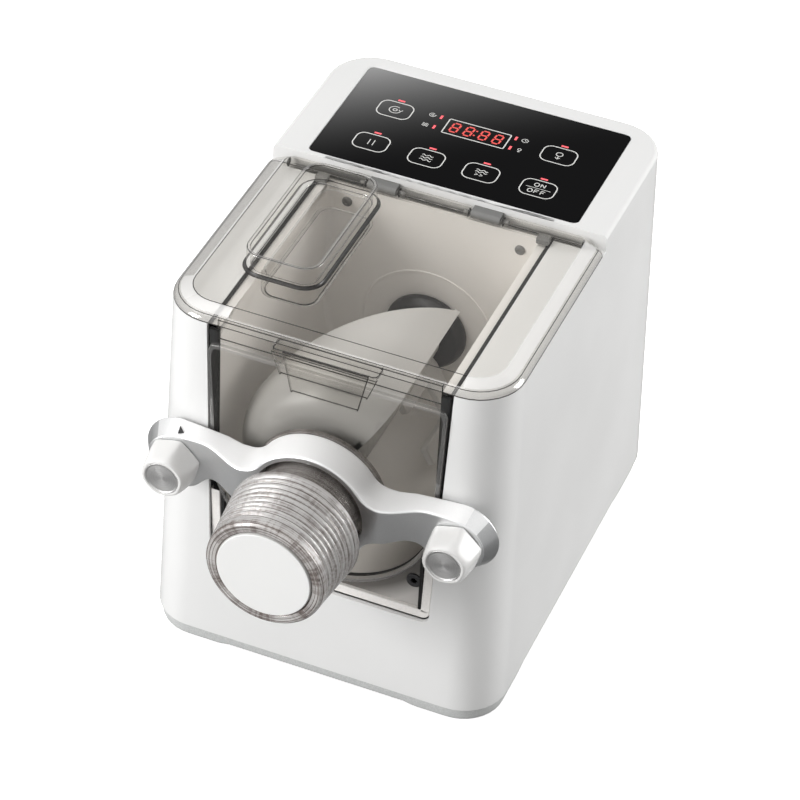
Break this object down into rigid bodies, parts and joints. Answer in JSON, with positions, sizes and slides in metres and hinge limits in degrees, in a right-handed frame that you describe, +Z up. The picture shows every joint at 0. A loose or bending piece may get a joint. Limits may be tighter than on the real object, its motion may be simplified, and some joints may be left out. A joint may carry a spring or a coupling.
{
  "type": "electric pasta maker",
  "caption": "Counter-top machine that mixes dough in a clear-lidded chamber and presses it out through a clear ring nut held by a satin clamp bar with hand knobs.",
  "frame": {"origin": "centre of the machine's whole outline seen from above, on the plane that the pads stand on", "axes": "+Z up, +Y from the clamp bar at the front to the rear wall, +X to the right as seen from the front"},
  "size_m": [0.233, 0.3796, 0.2715],
  "materials": {
    "white_shell": "glossy injection-moulded white",
    "white_part": "satin white food-grade plastic",
    "warm_tub": "satin warm light grey",
    "grey_base": "fine-grained mid grey",
    "black_rubber": "matt black",
    "grey_rubber": "matt dark grey",
    "dark_plastic": "satin charcoal",
    "clear_plastic": "clear moulded plastic",
    "black_glass": "polished black panel",
    "satin_metal": "satin bead-blasted casting",
    "spun_metal": "spun radial grain",
    "steel": "turned steel",
    "gear_plastic": "natural nylon",
    "motor_steel": "dark enamel",
    "stator_copper": "lamination and copper winding",
    "board": "green laminate",
    "board_parts": "mixed components",
    "display_red": "dark red filter"
  },
  "bodies": {
    "chassis": {"housing": "white_shell", "deck": "white_shell", "base": "grey_base", "pads": "grey_rubber", "tub": "warm_tub", "chamber_seal": "black_rubber", "front_cover": "clear_plastic", "recess_trim": "warm_tub", "bumpers": "dark_plastic", "wall_screws": "dark_plastic", "barrel": "clear_plastic", "clamp_bar": "satin_metal", "studs": "steel", "stud_brackets": "steel", "end_disc": "white_part", "hinge_pins": "steel", "shaft_seal": "black_rubber", "front_bearing": "steel", "rear_bearing": "steel", "mid_axle": "steel", "gear_case": "satin_metal", "gear_cover": "satin_metal", "motor_can": "motor_steel", "stator": "stator_copper", "motor_cradle": "dark_plastic", "control_glass": "black_glass", "display": "display_red", "panel_board": "board", "power_board": "board", "power_parts": "board_parts", "inlet": "dark_plastic", "reed_switch": "board", "base_screws": "steel"},
    "lid": {"lid": "clear_plastic", "hinge_blocks": "dark_plastic"},
    "knob_left": {"knob_left": "white_part", "knob_disc_left": "spun_metal"},
    "knob_right": {"knob_right": "white_part", "knob_disc_right": "spun_metal"},
    "ring_nut": {"ring_nut": "clear_plastic"},
    "drive": {"paddle": "white_part", "auger": "white_part", "drive_hub": "dark_plastic", "drive_shaft": "steel", "out_gear": "gear_plastic"},
    "intermediate": {"mid_gear": "gear_plastic"},
    "rotor": {"rotor": "steel", "fan": "dark_plastic"}
  },
  "joints": [
    {"name": "lid_hinge", "type": "hinge", "parent": "chassis", "child": "lid", "pos_m": [0, 0.06005, 0.2545], "axis": [-1, 0, 0], "range_deg": [0, 100]},
    {"name": "knob_left_turn", "type": "hinge", "parent": "chassis", "child": "knob_left", "pos_m": [-0.09, -0.11875, 0.1536], "axis": [0, -1, 0], "range_deg": [0, 720]},
    {"name": "knob_right_turn", "type": "hinge", "parent": "chassis", "child": "knob_right", "pos_m": [0.09, -0.11875, 0.1536], "axis": [0, -1, 0], "range_deg": [0, 720]},
    {"name": "ring_nut_turn", "type": "hinge", "parent": "chassis", "child": "ring_nut", "pos_m": [0, -0.15875, 0.156], "axis": [0, -1, 0], "range_deg": [0, 720]},
    {"name": "drive_spin", "type": "hinge", "parent": "chassis", "child": "drive", "pos_m": [0, 0.04125, 0.156], "axis": [0, -1, 0], "continuous": true},
    {"name": "intermediate_spin", "type": "hinge", "parent": "chassis", "child": "intermediate", "pos_m": [-0.0306, 0.08125, 0.1152], "axis": [0, -1, 0], "continuous": true},
    {"name": "rotor_spin", "type": "hinge", "parent": "chassis", "child": "rotor", "pos_m": [-0.01035, 0.14125, 0.0882], "axis": [0, -1, 0], "continuous": true}
  ],
  "couplings": [
    {"joint": "intermediate_spin", "follows": "drive_spin", "ratio": -3.8571},
    {"joint": "rotor_spin", "follows": "drive_spin", "ratio": 13.5}
  ]
}
